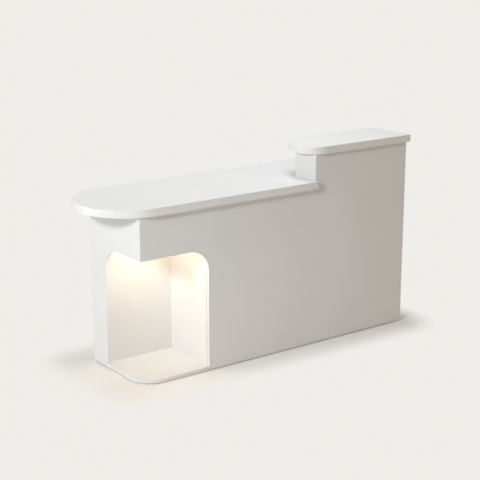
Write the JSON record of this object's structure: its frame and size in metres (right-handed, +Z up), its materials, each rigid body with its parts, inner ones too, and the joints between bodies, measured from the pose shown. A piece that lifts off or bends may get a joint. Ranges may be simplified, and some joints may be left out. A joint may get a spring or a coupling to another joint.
{
  "type": "reception desk",
  "caption": "White reception desk with a lit open corner niche, a worktop with a round end, a raised counter, and a drawer and a cupboard on the staff side.",
  "frame": {"origin": "on the floor, under the middle of the overall box", "axes": "+X along the desk from the niche end to the counter end, +Y from the visitors' side to the staff side, +Z up"},
  "size_m": [1.6, 0.47, 0.9],
  "materials": {
    "panel_laminate": "white satin melamine on particle board",
    "top_laminate": "white satin laminate on particle board",
    "edge_band": "white satin edge band",
    "handle_steel": "satin brushed",
    "hinge_steel": "nickel plated",
    "zinc_steel": "bright zinc plated",
    "white_plastic": "fine moulded texture",
    "dark_plastic": "fine moulded texture",
    "opal_lens": "opal diffuser, lit warm white"
  },
  "bodies": {
    "desk": {"front_panel": "panel_laminate", "left_end_panel": "panel_laminate", "right_end_panel": "panel_laminate", "niche_base": "panel_laminate", "niche_back_panel": "panel_laminate", "niche_divider": "panel_laminate", "niche_ceiling": "panel_laminate", "pigeonhole_shelf": "panel_laminate", "service_panel": "panel_laminate", "riser_left_panel": "panel_laminate", "riser_right_panel": "panel_laminate", "pedestal_divider": "panel_laminate", "pedestal_bottom": "panel_laminate", "drawer_divider_board": "panel_laminate", "plinth_board": "panel_laminate", "cupboard_shelf": "panel_laminate", "worktop": "top_laminate", "raised_top": "top_laminate", "worktop_edge_band": "edge_band", "raised_top_edge_band": "edge_band", "hinge_frame_leaf_lower": "hinge_steel", "hinge_frame_leaf_upper": "hinge_steel", "hinge_pin_lower": "hinge_steel", "hinge_pin_upper": "hinge_steel", "slide_cabinet_member_left": "zinc_steel", "slide_cabinet_member_right": "zinc_steel", "shelf_pin_left_front": "zinc_steel", "shelf_pin_left_rear": "zinc_steel", "shelf_pin_right_front": "zinc_steel", "shelf_pin_right_rear": "zinc_steel", "door_catch": "white_plastic", "lamp_housing": "white_plastic", "lamp_lens": "opal_lens", "led_driver": "white_plastic", "lamp_lead": "dark_plastic", "switch_lead": "dark_plastic", "switch_bezel": "dark_plastic", "cable_gland": "dark_plastic", "glide_niche_corner": "white_plastic", "glide_front_middle": "white_plastic", "glide_front_right": "white_plastic", "glide_left_rear": "white_plastic", "glide_pedestal_rear": "white_plastic", "glide_right_rear": "white_plastic"},
    "drawer": {"drawer_front": "panel_laminate", "drawer_side_left": "panel_laminate", "drawer_side_right": "panel_laminate", "drawer_back": "panel_laminate", "drawer_bottom": "panel_laminate", "drawer_handle": "handle_steel", "slide_drawer_member_left": "zinc_steel", "slide_drawer_member_right": "zinc_steel"},
    "slide_middle": {"slide_middle_member_left": "zinc_steel", "slide_middle_member_right": "zinc_steel"},
    "door": {"cupboard_door": "panel_laminate", "door_handle": "handle_steel", "hinge_door_leaf_lower": "hinge_steel", "hinge_door_leaf_upper": "hinge_steel", "door_strike_plate": "zinc_steel"},
    "rocker": {"switch_rocker": "dark_plastic"}
  },
  "joints": [
    {"name": "drawer_slide", "type": "slide", "parent": "desk", "child": "drawer", "axis": [0, 1, 0], "range_m": [0, 0.3]},
    {"name": "slide_middle_travel", "type": "slide", "parent": "desk", "child": "slide_middle", "axis": [0, 1, 0], "range_m": [0, 0.15]},
    {"name": "door_swing", "type": "hinge", "parent": "desk", "child": "door", "pos_m": [0.7727, 0.189, 0.3125], "axis": [0, 0, -1], "range_deg": [0, 165]},
    {"name": "rocker_tip", "type": "hinge", "parent": "desk", "child": "rocker", "pos_m": [-0.42, 0.183, 0.5], "axis": [-1, 0, 0], "range_deg": [0, 12]}
  ],
  "couplings": [
    {"joint": "slide_middle_travel", "follows": "drawer_slide", "ratio": 0.5}
  ]
}
